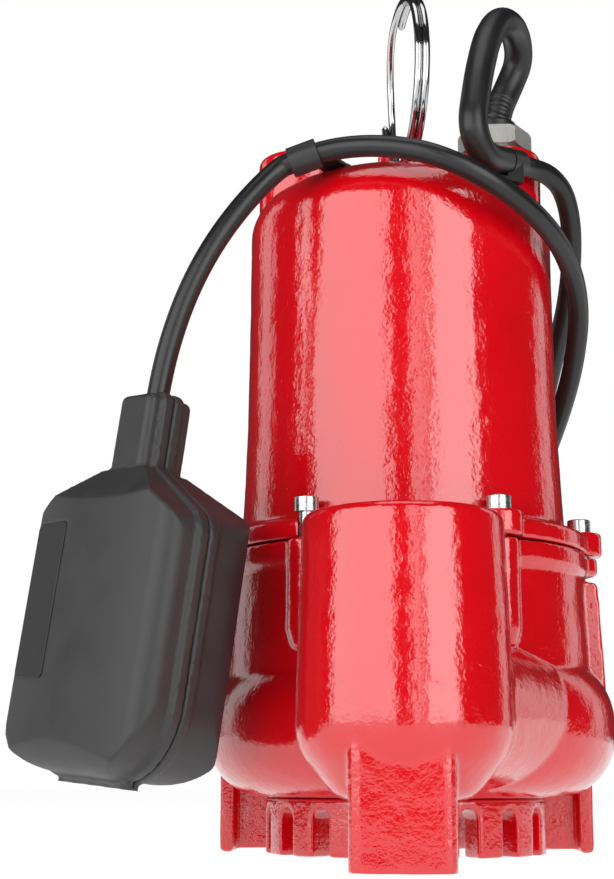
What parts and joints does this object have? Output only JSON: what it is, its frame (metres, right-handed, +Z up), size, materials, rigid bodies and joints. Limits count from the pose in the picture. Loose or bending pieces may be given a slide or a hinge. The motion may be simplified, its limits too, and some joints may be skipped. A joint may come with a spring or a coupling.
{
  "type": "submersible sump pump",
  "caption": "Cast-iron submersible pump: round motor shell on a spiral volute with an upward discharge boss, fingered suction base, tethered float switch, two cords and a split lifting ring.",
  "frame": {"origin": "on the shaft axis, in the plane that the three feet stand on", "axes": "+Z up along the shaft and out of the discharge boss; -Y towards the discharge boss; +X to the right when facing the boss"},
  "size_m": [0.2472, 0.3793, 0.3948],
  "materials": {
    "red_enamel": "glossy baked enamel over rough sand casting",
    "steel": "bright zinc-plated steel",
    "polished_steel": "polished stainless wire",
    "plated_nut": "nickel-plated brass",
    "grey_iron": "machined grey iron",
    "lamination": "varnished laminations",
    "copper": "enamelled copper windings",
    "aluminium": "die-cast end rings",
    "black_rubber": "satin black rubber",
    "cord_jacket": "smooth black jacket",
    "float_plastic": "matt dark grey moulded plastic",
    "black_plastic": "black nylon",
    "gasket": "fibre gasket",
    "ceramic": "lapped ceramic",
    "carbon": "carbon seal face",
    "brass": "plug pins",
    "pale_plastic": "moulded switch parts"
  },
  "bodies": {
    "pump": {"capacitor": "aluminium", "clip_screws": "steel", "cord_bend_sleeve": "black_rubber", "cord_clip_left": "black_plastic", "cord_clip_right": "black_plastic", "flange_screws": "steel", "float_cord_coil": "cord_jacket", "float_cord_run": "cord_jacket", "float_cord_tail": "cord_jacket", "float_plug_blades": "brass", "float_plug_body": "black_rubber", "gland_body": "plated_nut", "gland_collar": "black_rubber", "gland_nut": "plated_nut", "housing_gasket": "gasket", "lead_wires": "black_rubber", "lower_bearing_outer": "steel", "motor_housing": "red_enamel", "oil_fill_plug": "steel", "power_cord": "cord_jacket", "power_cord_coil": "cord_jacket", "power_cord_tail": "cord_jacket", "power_plug_blades": "brass", "power_plug_body": "black_rubber", "preload_washer": "steel", "seal_plate": "grey_iron", "seal_plate_ring": "black_rubber", "seal_seat": "ceramic", "stator_core": "lamination", "stator_windings": "copper", "strainer_screws": "steel", "suction_strainer": "red_enamel", "thermal_protector": "black_plastic", "upper_bearing_outer": "steel", "volute_casing": "red_enamel"},
    "rotor": {"shaft": "steel", "rotor_core": "lamination", "rotor_end_rings": "aluminium", "lower_bearing_inner": "steel", "upper_bearing_inner": "steel", "seal_face": "carbon", "seal_cup": "steel", "seal_spring": "steel", "impeller": "grey_iron", "impeller_nut": "steel", "impeller_washer": "steel"},
    "lower_balls": {"lower_bearing_balls": "steel", "lower_bearing_cage": "steel"},
    "upper_balls": {"upper_bearing_balls": "steel", "upper_bearing_cage": "steel"},
    "handle": {"handle_ring": "polished_steel"},
    "float": {"float_cord_tether": "cord_jacket", "float_front_shell": "float_plastic", "float_back_shell": "float_plastic", "float_grommet": "black_rubber", "float_ball_track": "pale_plastic", "float_microswitch": "black_plastic"},
    "ball": {"float_ball": "steel"},
    "lever": {"float_switch_lever": "steel"}
  },
  "joints": [
    {"name": "rotor_spin", "type": "hinge", "parent": "pump", "child": "rotor", "pos_m": [0, 0, 0.05], "axis": [0, 0, 1], "continuous": true},
    {"name": "lower_balls_roll", "type": "hinge", "parent": "pump", "child": "lower_balls", "pos_m": [0, 0, 0.134], "axis": [0, 0, 1], "continuous": true},
    {"name": "upper_balls_roll", "type": "hinge", "parent": "pump", "child": "upper_balls", "pos_m": [0, 0, 0.268], "axis": [0, 0, 1], "continuous": true},
    {"name": "handle_swing", "type": "hinge", "parent": "pump", "child": "handle", "pos_m": [0.002, 0.01, 0.314], "axis": [0, 1, 0], "range_deg": [-66, 10]},
    {"name": "float_swing", "type": "hinge", "parent": "pump", "child": "float", "pos_m": [-0.051, -0.064, 0.2845], "axis": [0, 1, 0], "range_deg": [0, 115]},
    {"name": "ball_roll", "type": "slide", "parent": "float", "child": "ball", "axis": [0.131, 0.03, 0.9909], "range_m": [0, 0.0335]},
    {"name": "lever_tip", "type": "hinge", "parent": "float", "child": "lever", "pos_m": [-0.10927, -0.07798, 0.10078], "axis": [-0.6779, -0.7266, 0.1116], "range_deg": [0, 8]}
  ],
  "couplings": [
    {"joint": "lower_balls_roll", "follows": "rotor_spin", "ratio": 0.3842},
    {"joint": "upper_balls_roll", "follows": "rotor_spin", "ratio": 0.3842},
    {"joint": "lever_tip", "follows": "ball_roll", "rad_per_m": 4}
  ]
}
